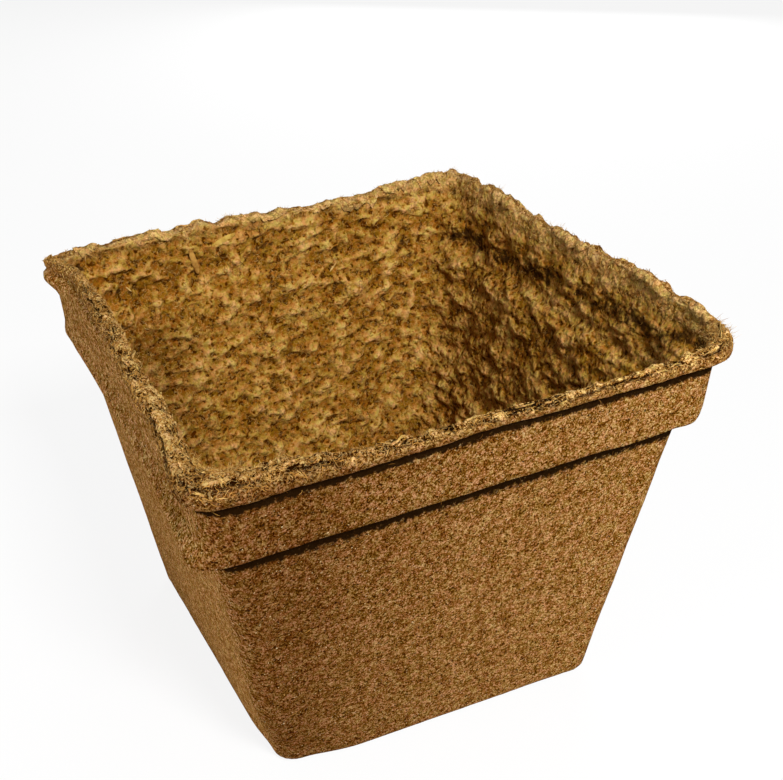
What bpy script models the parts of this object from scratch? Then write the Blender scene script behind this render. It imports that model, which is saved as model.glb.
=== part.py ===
"""Square plant pot moulded in one piece from pressed, composted fibre.

The pot is a single thin shell: a flat floor, four tapering walls, a stepped collar below the
mouth and a thick lip that overhangs the collar. One profile, drawn from the middle of the
outside of the base, up and over the lip and down to the middle of the inside floor, is
carried round a square with rounded corners. The lip dips between the corners, and the inside
is lumpy, as fibre sucked on to a screen comes out.

Metres, +Z up. The origin is the centre of the base, on the surface that the pot stands on.
"""

import math

import bmesh
import bpy
import numpy as np
from mathutils import Vector, noise

# Overall sizes
RIM_WIDTH = 0.1524  # across the lip, 6 in
HEIGHT = 0.127  # 5 in
BASE_WIDTH = 0.10795  # 4 1/4 in

# Body wall and floor
WALL = 0.0036
FLOOR = 0.0042
SHOULDER_WIDTH = 0.1384  # across the body where it meets the collar

# Collar: the stepped band below the lip
COLLAR_DEPTH = 0.022  # from the underside of the lip down to the foot of the collar
COLLAR_STEP = 0.0034  # how far the collar stands out from the body wall
COLLAR_DRAFT = 0.0008  # how much further out it stands at its top

# Lip: it overhangs the collar outside, and the mouth flares out to it inside
LIP_THICKNESS = 0.006
LIP_WIDTH = 0.0040  # across its top
FLARE_DEPTH = 0.0095  # from the top of the lip down to where the flare begins

# How far the lip dips below the full height, at each corner and in the middle of each side
FRONT_LEFT_DIP = 0.0016
FRONT_DIP = 0.0036
FRONT_RIGHT_DIP = 0.0016
RIGHT_DIP = 0.0
BACK_RIGHT_DIP = 0.0
BACK_DIP = 0.0036
BACK_LEFT_DIP = 0.0030
LEFT_DIP = 0.0016

# Lumps on the inside of the wall
LUMP_SIZE = 0.0090
LUMP_HEIGHT = 0.0013
LUMP_STEP = 0.0065  # between the levels of the inside that carry the lumps

# Corners of the square, seen from above, on the outside
BASE_CORNER = 0.0065
RIM_CORNER = 0.011
SMALLEST_CORNER = 0.001
CORNER_STEPS = 5
SIDE_STEPS = 15

# Rounded edges of the profile
FOOT_ROUND = 0.0030
SHOULDER_ROUND = 0.0012
COLLAR_ROUND = 0.0016
THROAT_ROUND = 0.0008
LIP_ROUND = 0.0016
FLARE_ROUND = 0.0060
LEDGE_ROUND = 0.0024
FLOOR_ROUND = 0.0060
ROUND_STEPS = 2

# Drain holes in the floor
DRAIN_DIAMETER = 0.0055
DRAIN_INSET = 0.020  # from the side of the base to the middle of a hole
DRAIN_SIDES = 16
CUTTER_MARGIN = 0.004

POT_NAME = "pot_shell"
FIBRE_BROWN = (0.215, 0.125, 0.050, 1.0)
FIBRE_ROUGHNESS = 0.95


def clear_scene():
    for item in list(bpy.data.objects):
        bpy.data.objects.remove(item)


def collection_named(name):
    made = bpy.data.collections.new(name)
    bpy.context.scene.collection.children.link(made)
    return made


def fibre_material():
    material = bpy.data.materials.new("pressed_fibre")
    material.use_nodes = True
    shader = material.node_tree.nodes["Principled BSDF"]
    shader.inputs["Base Color"].default_value = FIBRE_BROWN
    shader.inputs["Roughness"].default_value = FIBRE_ROUGHNESS
    shader.inputs["Metallic"].default_value = 0.0
    return material


def wall_profile():
    """Corners of the profile, from the base to the inside floor.

    Each is (half width, height, rounding, depth), and depth is how far it lies inside the outer skin.
    """
    base = BASE_WIDTH / 2
    rim = RIM_WIDTH / 2
    body_top = SHOULDER_WIDTH / 2
    lip_under = HEIGHT - LIP_THICKNESS
    collar_foot = lip_under - COLLAR_DEPTH
    collar_low = body_top + COLLAR_STEP
    collar_high = collar_low + COLLAR_DRAFT
    flare_foot = HEIGHT - FLARE_DEPTH
    taper = (body_top - base) / collar_foot
    ledge = collar_foot + WALL
    inner_floor = base + taper * FLOOR - WALL
    inner_body_top = base + taper * ledge - WALL
    return [
        (base, 0.0, FOOT_ROUND, 0.0),
        (body_top, collar_foot, SHOULDER_ROUND, 0.0),
        (collar_low, collar_foot, COLLAR_ROUND, 0.0),
        (collar_high, lip_under, THROAT_ROUND, 0.0),
        (rim, lip_under, LIP_ROUND, 0.0),
        (rim, HEIGHT, LIP_ROUND, 0.0),
        (rim - LIP_WIDTH, HEIGHT, LIP_ROUND, LIP_WIDTH),
        (collar_high - WALL, flare_foot, FLARE_ROUND, WALL),
        (collar_low - WALL, ledge, LEDGE_ROUND, WALL),
        (inner_body_top, ledge, LEDGE_ROUND, WALL),
        (inner_floor, FLOOR, FLOOR_ROUND, WALL),
    ]


def rounded_corner(before, corner, after, radius):
    """Points of the arc that rounds one corner of a profile."""
    to_before = (before - corner).normalized()
    to_after = (after - corner).normalized()
    half_angle = to_before.angle(to_after) / 2
    reach = radius / math.tan(half_angle)
    middle = (to_before + to_after).normalized()
    centre = corner + middle * (radius / math.sin(half_angle))
    start = corner + to_before * reach - centre
    sweep = start.angle_signed(corner + to_after * reach - centre)
    turns = [sweep * step / ROUND_STEPS for step in range(ROUND_STEPS + 1)]
    return [centre + turned(start, angle) for angle in turns]


def turned(vector, angle):
    """A 2D vector turned clockwise, the way that angle_signed counts."""
    cosine = math.cos(angle)
    sine = math.sin(angle)
    return Vector((vector.x * cosine + vector.y * sine, vector.y * cosine - vector.x * sine))


def rounded_profile(corners):
    """The profile with its corners rounded, as points of (half width, height, depth)."""
    places = [Vector((width, height)) for width, height, _, _ in corners]
    places.insert(0, Vector((0.0, corners[0][1])))
    places.append(Vector((0.0, corners[-1][1])))
    points = []
    for number, (_, _, radius, depth) in enumerate(corners, start=1):
        arc = rounded_corner(places[number - 1], places[number], places[number + 1], radius)
        if depth > 0:
            points += between(points[-1], (arc[0].x, arc[0].y, depth))
        points += [(point.x, point.y, depth) for point in arc]
    return points


def between(start, end):
    """Levels for the lumps, evenly spaced on a straight stretch of the inside."""
    first = Vector(start)
    last = Vector(end)
    count = int((last - first).length / LUMP_STEP)
    return [tuple(first.lerp(last, step / (count + 1))) for step in range(1, count + 1)]


def corner_radius(half_width, depth):
    """The corners open out from the base to the rim, and share a centre inside and outside."""
    base = BASE_WIDTH / 2
    rim = RIM_WIDTH / 2
    opening = (half_width + depth - base) / (rim - base)
    radius = BASE_CORNER + (RIM_CORNER - BASE_CORNER) * opening - depth
    return max(radius, SMALLEST_CORNER)


def rounded_square(half_width, height, depth):
    """One level of the pot, anticlockwise from above: each point and the way it faces."""
    radius = corner_radius(half_width, depth)
    straight = 2 * (half_width - radius)
    points = []
    for quarter in range(4):
        first = quarter * math.pi / 2
        last = first + math.pi / 2
        corner = (heading(first) + heading(last)) * (straight / 2) + Vector((0.0, 0.0, height))
        for step in range(CORNER_STEPS + 1):
            facing = heading(first + (last - first) * step / CORNER_STEPS)
            points.append((corner + facing * radius, facing))
        facing = heading(last)
        along = heading(last + math.pi / 2)
        side_start = corner + facing * radius
        for step in range(1, SIDE_STEPS):
            points.append((side_start + along * (straight * step / SIDE_STEPS), facing))
    return points


def heading(angle):
    return Vector((math.cos(angle), math.sin(angle), 0.0))


def way_round(place):
    """How far round a point is: 0 to 1 along the front from the left, then right, back and left."""
    far = max(abs(place.x), abs(place.y))
    across = place.x / far
    along = place.y / far
    if abs(across) > abs(along):
        return 1 + (1 + along) / 2 if across > 0 else 3 + (1 - along) / 2
    return (1 + across) / 2 if along < 0 else 2 + (1 - across) / 2


def lip_dip(place):
    """How far a point of the lip sinks: not at all at its underside, and most at its top."""
    dips = (
        FRONT_LEFT_DIP, FRONT_DIP, FRONT_RIGHT_DIP, RIGHT_DIP,
        BACK_RIGHT_DIP, BACK_DIP, BACK_LEFT_DIP, LEFT_DIP,
    )
    share = max(0.0, 1 - (HEIGHT - place.z) / LIP_THICKNESS)
    return share * np.interp(way_round(place), np.arange(len(dips)) / 2, dips, period=4)


def lump(place):
    """How far the inside stands in at a point; the lumps fade out towards the floor and the lip."""
    from_floor = (place.z - FLOOR - FLOOR_ROUND) / LUMP_SIZE
    from_lip = (HEIGHT - LIP_THICKNESS - place.z) / LUMP_SIZE
    fade = min(max(from_floor, 0.0), max(from_lip, 0.0), 1.0)
    return LUMP_HEIGHT * fade * noise.noise(place / LUMP_SIZE)


def level_points(half_width, height, depth):
    """The points of one level, with the dips of the lip and the lumps of the inside."""
    points = []
    for place, facing in rounded_square(half_width, height, depth):
        shift = Vector((0.0, 0.0, -lip_dip(place)))
        if depth > 0:
            shift -= facing * lump(place)
        points.append(place + shift)
    return points


def lofted_shell(profile):
    """A closed mesh through a rounded square at each point of the profile."""
    shell = bmesh.new()
    levels = [[shell.verts.new(p) for p in level_points(*point)] for point in profile]
    for lower, upper in zip(levels, levels[1:]):
        for i in range(len(lower)):
            j = (i + 1) % len(lower)
            shell.faces.new((lower[i], lower[j], upper[j], upper[i]))
    shell.faces.new(reversed(levels[0]))
    shell.faces.new(levels[-1])
    mesh = bpy.data.meshes.new(POT_NAME)
    shell.to_mesh(mesh)
    shell.free()
    return mesh


def drain_cutter(x, y, collection):
    """A round pin that leaves a drain hole in the floor."""
    pin = bmesh.new()
    bmesh.ops.create_cone(
        pin,
        cap_ends=True,
        segments=DRAIN_SIDES,
        radius1=DRAIN_DIAMETER / 2,
        radius2=DRAIN_DIAMETER / 2,
        depth=FLOOR + 2 * CUTTER_MARGIN,
    )
    mesh = bpy.data.meshes.new("drain_pin")
    pin.to_mesh(mesh)
    pin.free()
    cutter = bpy.data.objects.new("drain_pin", mesh)
    cutter.location = (x, y, FLOOR / 2)
    cutter.hide_render = True
    cutter.display_type = "WIRE"
    collection.objects.link(cutter)
    return cutter


def build_pot():
    parts = collection_named("square_fibre_pot")
    cutters = collection_named("cutters")
    pot = bpy.data.objects.new(POT_NAME, lofted_shell(rounded_profile(wall_profile())))
    pot.data.materials.append(fibre_material())
    pot.data.shade_smooth()
    pot.data.set_sharp_from_angle(angle=math.radians(40))
    parts.objects.link(pot)
    reach = BASE_WIDTH / 2 - DRAIN_INSET
    for side_x in (-1, 1):
        for side_y in (-1, 1):
            hole = pot.modifiers.new("drain_hole", "BOOLEAN")
            hole.operation = "DIFFERENCE"
            hole.object = drain_cutter(side_x * reach, side_y * reach, cutters)
    return pot


clear_scene()
build_pot()
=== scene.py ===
import math

import bmesh
import bpy
import numpy as np
from mathutils import Matrix, Vector, noise
from mathutils.bvhtree import BVHTree


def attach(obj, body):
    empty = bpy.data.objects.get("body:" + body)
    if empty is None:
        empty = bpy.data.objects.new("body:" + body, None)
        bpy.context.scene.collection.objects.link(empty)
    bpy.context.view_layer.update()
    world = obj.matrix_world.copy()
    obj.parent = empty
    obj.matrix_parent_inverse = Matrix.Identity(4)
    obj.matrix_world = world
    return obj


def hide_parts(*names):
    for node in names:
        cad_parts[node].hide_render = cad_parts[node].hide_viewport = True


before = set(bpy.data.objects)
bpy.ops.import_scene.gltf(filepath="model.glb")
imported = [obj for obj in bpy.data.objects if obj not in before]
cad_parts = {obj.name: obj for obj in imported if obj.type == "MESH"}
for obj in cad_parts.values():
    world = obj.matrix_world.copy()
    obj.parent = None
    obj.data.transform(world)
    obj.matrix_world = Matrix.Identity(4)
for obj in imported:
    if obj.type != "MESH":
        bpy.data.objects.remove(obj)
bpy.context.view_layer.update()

# Sizes of the moulding, in metres; widths are from the middle of the pot to one side
MM = 0.001
BASE_HALF = 0.053975
RIM_HALF = 0.0762
HEIGHT = 0.127
WALL = 0.0036
FLOOR = 0.0042
FLOOR_ROUND = 0.0060
BODY_TOP = 0.0692  # width of the body where it meets the collar
SHOULDER = 0.0945  # height where the body begins to round into the shoulder
COLLAR_FOOT = 0.099
COLLAR_LOW = 0.0726  # width of the collar at its foot
COLLAR_HIGH = 0.0734  # width of the collar at its top
LIP_UNDER = 0.121
LEDGE = 0.1026  # height of the step inside, behind the foot of the collar
INNER_FOOT = 0.011  # height where the inside wall begins to round into the floor
TAPER = (BODY_TOP - BASE_HALF) / COLLAR_FOOT

# Corners of the square, seen from above
FOOT_INSET = 0.0018
BASE_CORNER = 0.0056
CORNER_BEND = BASE_CORNER / (BASE_HALF - FOOT_INSET)
CORNER_CUTS = 6
SIDE_CUTS = 37

# Heights above which faces are lip, outside and inside, or felt
LIP_FROM_OUTSIDE = 0.1207
LIP_FROM_INSIDE = 0.1190
FELT_FROM = 0.006

# Drain holes in the floor
DRAIN_RADIUS = 0.00275
DRAIN_REACH = 0.033975  # from the middle of the floor to a hole, both ways


def straight(start, end, steps):
    """Evenly spaced rings from one level of the wall to the next, without the first."""
    first = np.array(start)
    last = np.array(end)
    return [tuple(first + (last - first) * k / steps) for k in range(1, steps + 1)]


def wall_path():
    """Half width and height of each ring: up the outside, over the lip and down the inside."""
    mouth = COLLAR_HIGH - WALL
    inner_low = COLLAR_LOW - WALL
    inner_body = BASE_HALF + TAPER * LEDGE - WALL
    inner_foot = BASE_HALF + TAPER * INNER_FOOT - WALL
    # Foot and body
    path = [(BASE_HALF - FOOT_INSET, 0.0), (BASE_HALF - 0.0005, 0.0005), (BASE_HALF + 0.0003, 0.0020)]
    path += straight(path[-1], (BASE_HALF + TAPER * SHOULDER, SHOULDER), steps=32)
    # Shoulder and collar
    path += straight(path[-1], (BODY_TOP - 0.0002, 0.0982), steps=4)
    path += [(BODY_TOP + 0.0001, 0.0988), (BODY_TOP + 0.0011, 0.0990), (COLLAR_LOW - 0.0012, 0.0991)]
    path += [(COLLAR_LOW - 0.0003, 0.0997), (COLLAR_LOW, 0.1010)]
    path += straight(path[-1], (COLLAR_HIGH - 0.0002, 0.1145), steps=6)
    path += straight(path[-1], (COLLAR_HIGH, 0.1202), steps=8)
    # Lip
    path += [(COLLAR_HIGH + 0.0004, 0.1209), (COLLAR_HIGH + 0.0014, 0.1211)]
    path += [(RIM_HALF - 0.0007, 0.1213), (RIM_HALF - 0.0001, 0.1222), (RIM_HALF, 0.1240)]
    path += [(RIM_HALF - 0.0003, 0.1259), (RIM_HALF - 0.0013, 0.1268), (RIM_HALF - 0.0026, HEIGHT)]
    path += [(RIM_HALF - 0.0038, 0.1265), (RIM_HALF - 0.0045, 0.1250), (RIM_HALF - 0.0056, 0.1222)]
    # Mouth, ledge and inside wall
    path += [(mouth, 0.1185)]
    path += straight(path[-1], (inner_low, 0.1056), steps=7)
    path += [(inner_low - 0.0006, 0.1040), (inner_low - 0.0016, 0.1030)]
    path += [(inner_body + 0.0006, 0.1020), (inner_body, 0.1004)]
    path += straight(path[-1], (inner_foot, INNER_FOOT), steps=38)
    path += [(inner_foot - 0.0010, 0.0075), (inner_foot - 0.0028, 0.0052), (inner_foot - 0.0055, FLOOR)]
    return path


def deselect():
    for item in bpy.context.selected_objects:
        item.select_set(False)


def work_on(piece):
    deselect()
    piece.select_set(True)
    bpy.context.view_layer.objects.active = piece


def edit(piece):
    """Opens a piece in edit mode, all of it selected."""
    work_on(piece)
    bpy.ops.object.mode_set(mode="EDIT")
    bpy.ops.mesh.select_all(action="SELECT")


def face_outward():
    """Turns all faces outward in edit mode, and leaves it."""
    bpy.ops.mesh.select_all(action="SELECT")
    bpy.ops.mesh.normals_make_consistent(inside=False)
    bpy.ops.object.mode_set(mode="OBJECT")


def outer_half(height):
    return np.where(height < COLLAR_FOOT, BASE_HALF + TAPER * height, COLLAR_LOW)


def pick_faces(mesh, keep):
    """Selects the faces whose middle the test keeps, in edit mode."""
    bpy.ops.mesh.select_mode(type="FACE")
    bpy.ops.mesh.select_all(action="DESELECT")
    form = bmesh.from_edit_mesh(mesh)
    for face in form.faces:
        face.select = bool(keep(face.calc_center_median()))
    form.select_flush_mode()
    bmesh.update_edit_mesh(mesh)


def is_lip(place):
    if place.z > LIP_FROM_OUTSIDE:
        return True
    across = max(abs(place.x), abs(place.y))
    return place.z > LIP_FROM_INSIDE and across < COLLAR_HIGH - WALL / 2


def is_inner_wall(place):
    across = max(abs(place.x), abs(place.y))
    return place.z > FELT_FROM and across < outer_half(place.z) - WALL * 0.6 and not is_lip(place)


def pot_blank():
    """The plain moulding: a rounded square drawn up, over the lip and back down inside."""
    deselect()
    path = wall_path()
    bpy.ops.mesh.primitive_plane_add(size=2 * path[0][0])
    pot = bpy.context.object
    pot.name = "pot_felt"
    edit(pot)
    bpy.ops.mesh.bevel(offset=BASE_CORNER, segments=CORNER_CUTS, affect="VERTICES")
    bpy.ops.mesh.select_mode(type="EDGE")
    bpy.ops.mesh.select_all(action="DESELECT")
    form = bmesh.from_edit_mesh(pot.data)
    for edge in form.edges:
        edge.select = edge.calc_length() > BASE_HALF
    form.select_flush_mode()
    bpy.ops.mesh.subdivide(number_cuts=SIDE_CUTS)
    bpy.ops.mesh.select_all(action="SELECT")
    bpy.ops.mesh.delete(type="ONLY_FACE")
    bpy.ops.mesh.select_all(action="SELECT")
    bpy.ops.mesh.edge_face_add()
    bpy.ops.mesh.select_mode(type="EDGE")
    bpy.ops.mesh.select_all(action="SELECT")
    for (width, height), (wider, higher) in zip(path, path[1:]):
        rise = (0, 0, higher - height)
        bpy.ops.mesh.extrude_edges_move(TRANSFORM_OT_translate={"value": rise})
        grow = wider / width
        bpy.ops.transform.resize(value=(grow, grow, 1), center_override=(0, 0, higher))
    bpy.ops.mesh.fill_grid(span=SIDE_CUTS + 1 + CORNER_CUTS)
    face_outward()
    return pot


def lip_band(pot):
    """A copy of the lip as a piece of its own, four times as fine and still open underneath."""
    edit(pot)
    pick_faces(pot.data, is_lip)
    bpy.ops.mesh.duplicate()
    bpy.ops.mesh.separate(type="SELECTED")
    bpy.ops.object.mode_set(mode="OBJECT")
    band = next(item for item in bpy.context.selected_objects if item != pot)
    band.name = "torn_lip"
    edit(band)
    bpy.ops.mesh.subdivide(number_cuts=3)
    bpy.ops.object.mode_set(mode="OBJECT")
    return band


def close_band(band):
    """Closes the lip along its two open edges, inside the wall."""
    edit(band)
    bpy.ops.mesh.select_mode(type="EDGE")
    bpy.ops.mesh.select_all(action="DESELECT")
    bpy.ops.mesh.select_non_manifold()
    bpy.ops.mesh.mark_sharp()
    bpy.ops.mesh.bridge_edge_loops()
    face_outward()


def refine(pot):
    """Three times as fine on the inside, where the felt is rough."""
    edit(pot)
    pick_faces(pot.data, is_inner_wall)
    bpy.ops.mesh.subdivide(number_cuts=2)
    bpy.ops.object.mode_set(mode="OBJECT")


def drain(pot):
    """Four round holes through the floor."""
    for side_x in (-1, 1):
        for side_y in (-1, 1):
            deselect()
            place = (side_x * DRAIN_REACH, side_y * DRAIN_REACH, FLOOR / 2)
            bpy.ops.mesh.primitive_cylinder_add(
                vertices=20, radius=DRAIN_RADIUS, depth=0.012, location=place
            )
            pin = bpy.context.object
            work_on(pot)
            hole = pot.modifiers.new("drain", "BOOLEAN")
            hole.operation = "DIFFERENCE"
            hole.object = pin
            bpy.ops.object.modifier_apply(modifier=hole.name)
            bpy.data.objects.remove(pin)


def places_and_normals(mesh):
    places = np.empty(len(mesh.vertices) * 3)
    normals = np.empty(len(mesh.vertices) * 3)
    mesh.vertices.foreach_get("co", places)
    mesh.vertices.foreach_get("normal", normals)
    return places.reshape(-1, 3), normals.reshape(-1, 3)


def ring_half(places):
    """Half width of the ring that each point lies on, corners included."""
    flat = 1 - CORNER_BEND
    far = np.abs(places[:, :2]).max(axis=1)
    near = np.abs(places[:, :2]).min(axis=1)
    lead = 2 * flat * flat - CORNER_BEND * CORNER_BEND
    both = flat * (far + near)
    root = np.sqrt(np.maximum(both * both - lead * (far * far + near * near), 0))
    return np.where(near > flat * far, (both - root) / lead, far)


# Uneven shapes

# Broad lumps of the inside, which the solid has too
LUMP_SIZE = 0.0090
LUMP_HEIGHT = 0.0013
# How much weaker each finer layer of a random relief is, and how much finer
RELIEF_FADE = 0.9
RELIEF_STEP = 2.1


def fractal(places, size, octaves, shift):
    """Soft random relief, about -1 to 1, with lumps of the given size."""
    moved = places / size + shift
    return np.array([noise.fractal(Vector(p), RELIEF_FADE, RELIEF_STEP, octaves) for p in moved])


def clumps(places, size, octaves, shift):
    """Rounded clumps with creases between them, about 0 to 1."""
    moved = places / size + shift
    return np.array([noise.turbulence(Vector(p), octaves, False) for p in moved])


def lumps(places):
    """How far the broad lumps stand out, in metres."""
    from_floor = (places[:, 2] - FLOOR - FLOOR_ROUND) / LUMP_SIZE
    from_lip = (LIP_UNDER - places[:, 2]) / LUMP_SIZE
    fade = np.clip(np.minimum(from_floor, from_lip), 0, 1)
    return LUMP_HEIGHT * fade * np.array([noise.noise(Vector(p)) for p in places / LUMP_SIZE])


def ramp(values, low, high):
    """0 at low, 1 at high, eased between."""
    part = np.clip((values - low) / (high - low), 0, 1)
    return part * part * (3 - 2 * part)


def bump_at(values, middle, spread):
    return np.exp(-((values - middle) / spread) ** 2)


def store(mesh, name, values):
    layer = mesh.attributes.new(name, "FLOAT", "POINT")
    layer.data.foreach_set("value", values.astype(np.float32))


# The uneven lip, in millimetres, each at a place round the pot: 0 to 1 along the front from the left,
# then 1 to 2 up the right, 2 to 3 along the back and 3 to 4 down the left.
# How far its top lies below its full height
LIP_DROP = [
    (0.0, 1.6), (0.08, 1.8), (0.15, 2.2), (0.3, 4.4), (0.5, 4.8), (0.68, 4.8), (0.77, 4.4),
    (0.9, 3.6), (1.0, 1.4), (1.04, -0.2), (1.11, -0.9), (1.25, -1.3), (1.41, -1.1), (1.54, 0.2),
    (1.62, 0.2), (1.7, -0.4), (1.78, -1.2), (1.86, -0.8), (1.95, -0.5), (2.04, 0.0), (2.14, 1.2),
    (2.28, 2.9), (2.41, 3.8), (2.53, 2.8), (2.65, 2.4), (2.76, 2.6), (2.88, 3.4), (2.97, 3.8),
    (3.1, 2.0), (3.25, 1.2), (3.5, 1.8), (3.9, 1.8),
]
# How far its underside sags
LIP_SAG = [
    (0.0, 2.7), (0.15, 2.6), (0.3, 2.7), (0.5, 2.3), (0.9, 2.2), (1.0, 1.6), (1.2, 0.6), (3.0, 0.3),
    (3.8, 1.0),
]
# How far its outer side stands past its full width
LIP_REACH = [
    (0.0, 1.0), (0.1, 0.9), (0.15, 0.8), (0.3, 1.0), (0.5, 0.5), (0.69, 1.1), (0.88, 1.6),
    (0.998, 1.5), (1.0, 0.4), (1.15, 1.4), (1.3, 2.0), (1.7, 1.8), (1.9, 1.0), (2.0, 0.4),
    (2.5, 0.2), (2.998, -1.0), (3.0, -2.6), (3.2, -3.2), (3.395, -1.6), (3.54, 0.4), (3.664, 1.9),
    (3.776, 2.3), (3.848, 3.8), (3.894, 5.4), (3.94, 6.0), (3.998, 5.8),
]
# How far its inner edge is pushed back
LIP_OPENING = [
    (0.0, -1.4), (0.08, -1.8), (0.15, 0.6), (0.3, 1.8), (0.5, 2.2), (0.68, 2.6), (0.9, 2.3),
    (1.0, 1.6), (1.3, 1.4), (2.0, 0.8), (2.9, 0.6), (3.0, -1.6), (3.3, -2.8), (3.45, -1.0),
    (3.61, 0.8), (3.79, 2.0), (3.9, 4.4), (3.998, 4.0),
]
# How far the collar stands out past its plain shape
COLLAR_BULGE = [
    (0.0, 0.5), (0.5, 0.9), (0.9, 1.2), (0.998, 1.1), (1.0, 0.2), (1.15, 0.3), (1.5, 0.5),
    (2.0, 0.4), (2.998, 0.4), (3.0, 1.5), (3.25, 1.2), (3.45, 1.0), (3.7, 1.8), (3.85, 3.4),
    (3.998, 5.0),
]
# How torn and open the lip is, from 0 to 1
LIP_TORN = [
    (0.0, 1.0), (0.93, 1.0), (1.05, 0.4), (1.2, 0.2), (2.9, 0.2), (3.1, 0.5), (3.3, 1.0), (3.99, 1.0),
]
# How far the left wall leans out at its front end, in millimetres, at each height in metres
LEFT_LEAN = [(0.0, 0.8), (0.03, 3.2), (0.06, 3.8), (0.099, 5.0)]
# How much painted shade darkens the front, from left to right, where the light falls off
FRONT_SHADE = [(-0.050, 1.0), (-0.035, 0.75), (-0.006, 0.47), (0.040, 0.16), (0.070, 0.0)]
# Small gaps dug into the back wall and darkened with painted shade: across and up to the middle, half length
# and half height
GAPS = [
    (-0.0557, 0.1078, 0.0011, 0.0012), (0.0520, 0.1046, 0.0022, 0.0009),
    (0.0242, 0.1066, 0.0024, 0.0009), (0.0360, 0.1154, 0.0012, 0.0010),
    (-0.0653, 0.1188, 0.0018, 0.0010), (-0.0010, 0.1130, 0.0030, 0.0008),
]
GAP_SLANT = 0.15

# Felt of the inside: its clumps and curls, and the levels of its cracks, in metres
CLUMP_SIZE = 0.0048
CURL_SIZE = 0.0026
CRACK_LEVEL = 0.1140
HOLLOW_LEVEL = 0.1125
RIM_CRACK_LEVEL = 0.1226
SPLIT_LEVEL = 0.1258  # of the split along the outer edge of the lip
# How deep the cracks, gaps, hollows and split are, in millimetres
CRACK_DEPTH = 2.2
GAP_DEPTH = 1.5
HOLLOW_DEPTH = 0.8
SPLIT_DEPTH = 1.8
# Warps of this pot, in millimetres
FOOT_TURN_RIGHT = 3.4
FOOT_TURN_LEFT = 1.6
RIGHT_LEAN = 1.0
SHARP_CORNER = 0.4
EAR_PULL = 4.0
WORN_LEFT = 1.8
WORN_FRONT = 3.0
CORNER_FILL = 2.4
# How far down the painted shade under an overhang reaches for each millimetre that the edge above it stands
# out
OVERHANG_SHADE_REACH = 0.80
# The most of that which counts, and how far the plain collar stands out, in millimetres
LIP_OVERHANG = 3.6
COLLAR_OVERHANG = 4.4
COLLAR_STEP = 3.4
# Where a side ends, as a share of half its length
SIDE_END = 0.998


def way_round(across, along):
    """How far round the pot each point is: 0 to 1 along the front, then right, back and left."""
    flat = np.where(along < 0, (across + 1) / 2, 2 + (1 - across) / 2)
    upright = np.where(across > 0, 1 + (along + 1) / 2, 3 + (1 - along) / 2)
    return flat, upright, np.where(np.abs(across) > np.abs(along), upright, flat)


def from_table(table, turn):
    stops, values = np.array(table).T
    return np.interp(turn, stops, values, period=4)


def wall_gaps(x, y, z, inside):
    """How much each point is in one of the gaps in the back wall, which are dug in and darkened with painted
    shade.
    """
    gap = np.zeros(len(x))
    for gap_x, gap_z, gap_long, gap_high in GAPS:
        run = x - gap_x
        away = (run / gap_long) ** 2 + ((z - gap_z - GAP_SLANT * run) / gap_high) ** 2
        gap = np.maximum(gap, np.exp(-away) * inside * (y > 0.050))
    return gap


def felt_relief(plain, around, inside, torn, right, back):
    """Height of the felt and of its broad lumps, in millimetres, and how much painted shade darkens its
    hollows, rim cracks and gaps.
    """
    x, y, z = plain.T
    long_clump = clumps(plain * [1, 0.5, 1], CLUMP_SIZE, 3, 3.1)
    round_clump = clumps(plain * [0.8, 0.8, 1.1], CLUMP_SIZE, 3, 3.1)
    clump = long_clump * right + round_clump * (1 - right)
    long_curl = clumps(plain * [1, 0.6, 1], CURL_SIZE, 2, 7.7)
    curl = long_curl * right + clumps(plain, CURL_SIZE, 2, 7.7) * (1 - right)
    upper = ramp(z, 0.096, 0.106) * back
    clump_height = 1.6 - 0.3 * right + 0.4 * upper
    curl_height = 1.35 - 0.5 * right
    felt = clump_height * (clump - 0.42) + curl_height * (curl - 0.40)
    felt += 0.25 * fractal(plain, 0.0014, 2, 53.0) + 0.5 * right * fractal(plain, 0.0065, 3, 57.0)
    broad = lumps(plain) / MM
    felt += broad
    felt *= 1 - 0.45 * ramp(z, 0.1130, 0.1220)

    crack_line = CRACK_LEVEL + 0.0024 * fractal(around, 0.02, 2, 5.0)
    crack = bump_at(z, crack_line, 0.0008) * ramp(fractal(around, 0.013, 2, 9.0), -0.05, 0.20)
    felt -= CRACK_DEPTH * crack * (0.35 + 0.65 * back)
    gap = wall_gaps(x, y, z, inside)
    felt -= GAP_DEPTH * gap
    # The hollows and rim cracks are dug in, and the same mask later darkens them with painted shade
    hollow_line = HOLLOW_LEVEL - 0.075 * y + 0.0030 * fractal(around, 0.03, 2, 45.0)
    shaded_hollow = bump_at(z, hollow_line, 0.0034) * ramp(fractal(plain, 0.011, 2, 47.0), -0.55, 0.05)
    rim_crack_line = RIM_CRACK_LEVEL + 0.0014 * fractal(around, 0.008, 2, 49.0)
    rim_crack = bump_at(z, rim_crack_line, 0.0010)
    rim_crack *= inside * (1 - torn) * ramp(fractal(around, 0.011, 2, 51.0), -0.02, 0.14)
    shaded_hollow = np.maximum(right * shaded_hollow, (right + 0.7 * back) * rim_crack)
    felt -= HOLLOW_DEPTH * shaded_hollow + HOLLOW_DEPTH * rim_crack
    return np.clip(felt, -2.0, 2.4), broad, np.clip(shaded_hollow + 1.5 * gap, 0, 1)


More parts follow.
